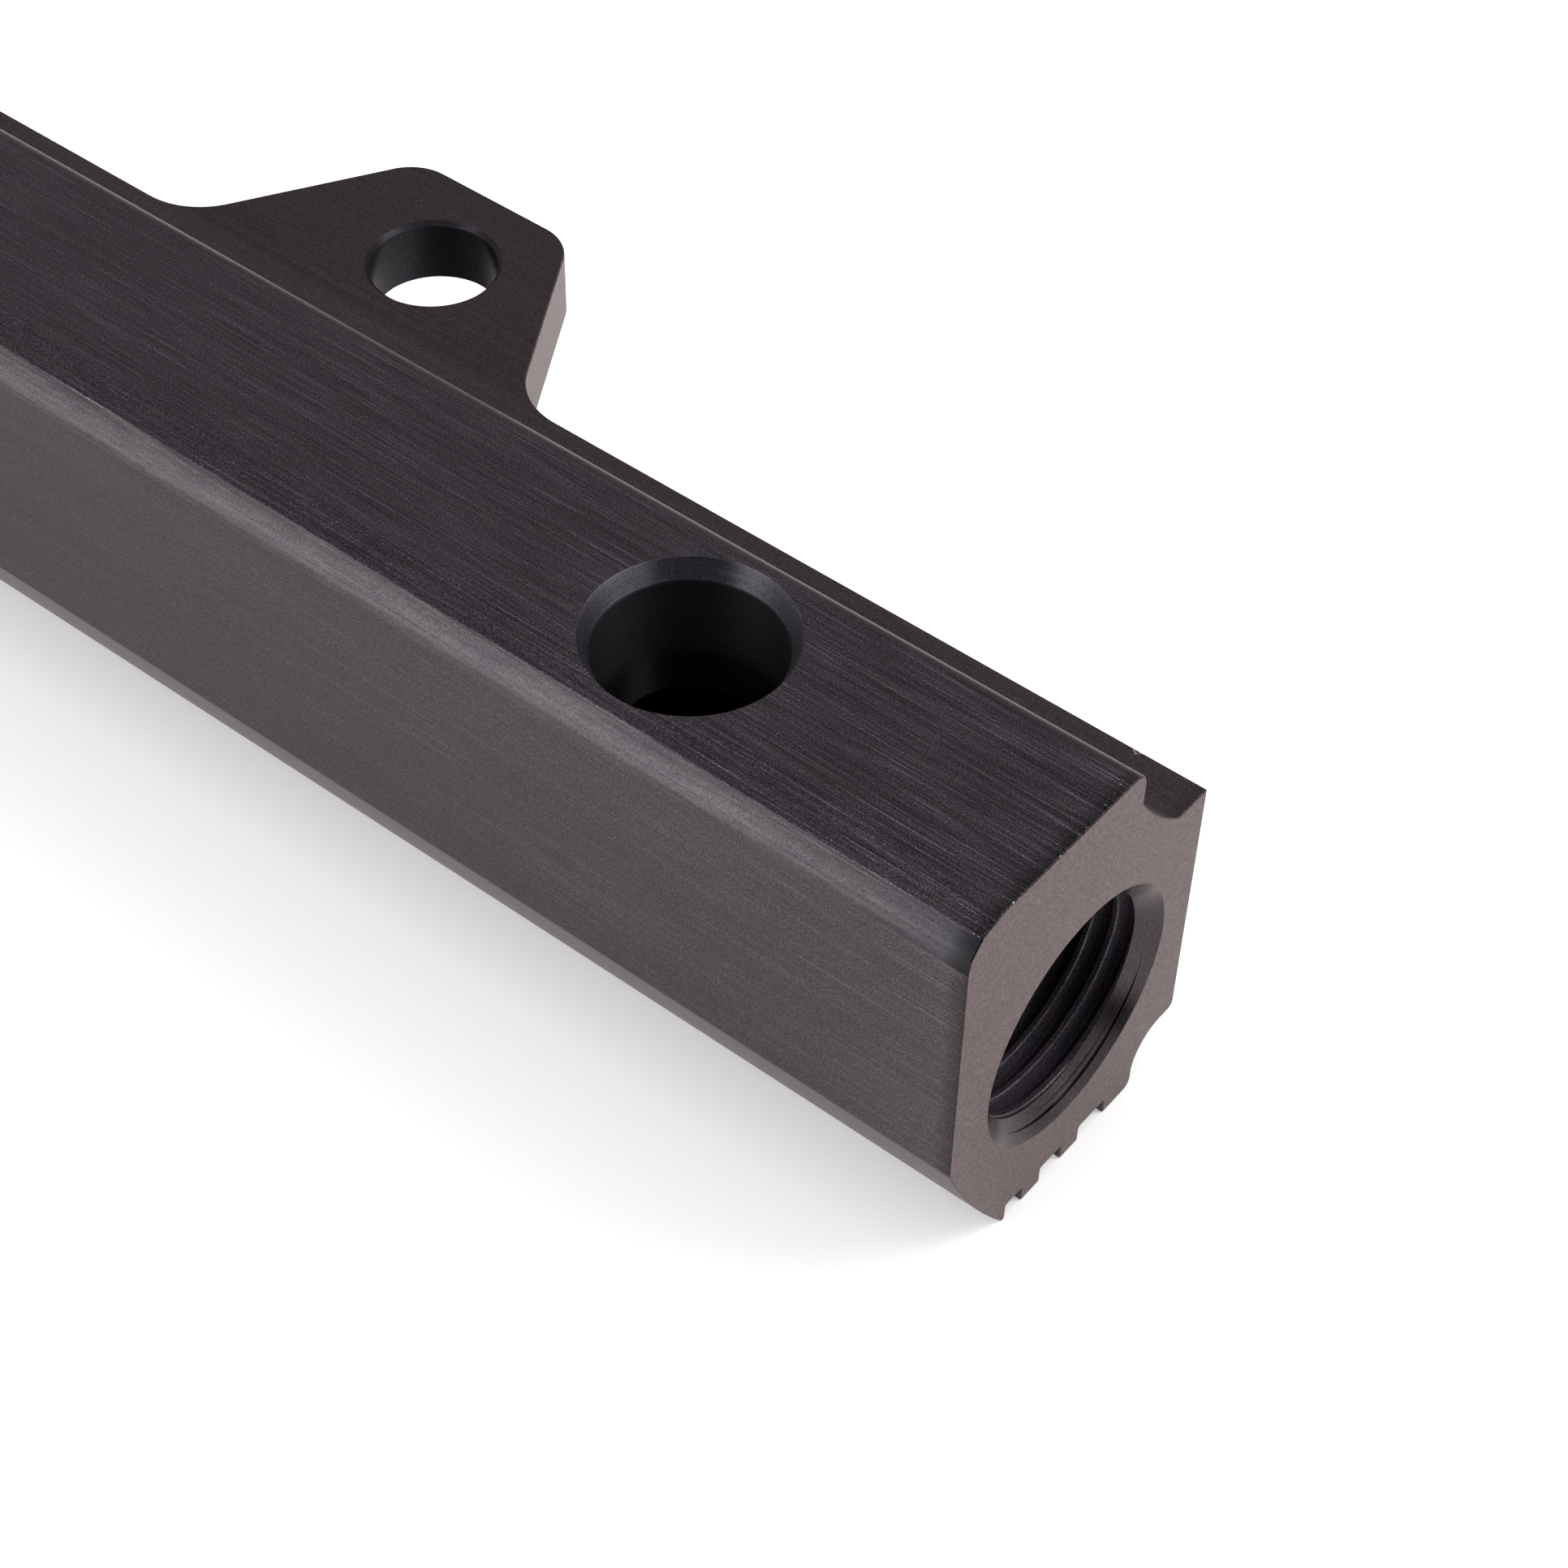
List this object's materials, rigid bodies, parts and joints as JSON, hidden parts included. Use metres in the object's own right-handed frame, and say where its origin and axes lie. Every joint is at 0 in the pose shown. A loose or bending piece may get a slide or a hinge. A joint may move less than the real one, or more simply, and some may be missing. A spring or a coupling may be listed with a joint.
{
  "type": "fuel rail",
  "caption": "Straight black anodised fuel rail with a threaded fuel gallery, round injector pockets along its top and slanted bolt-on ears behind.",
  "frame": {"origin": "centre of the overall length and width, at the bottom of the resting ribs", "axes": "+X along the rail, +Y towards the mounting ears, +Z out of the injector pockets"},
  "size_m": [0.3436, 0.0454, 0.0369],
  "materials": {
    "anodised_body": "black anodised and satin: finely brushed along the top and front, smoother on the machined ends"
  },
  "bodies": {
    "root": {"rail_body": "anodised_body"}
  },
  "joints": []
}
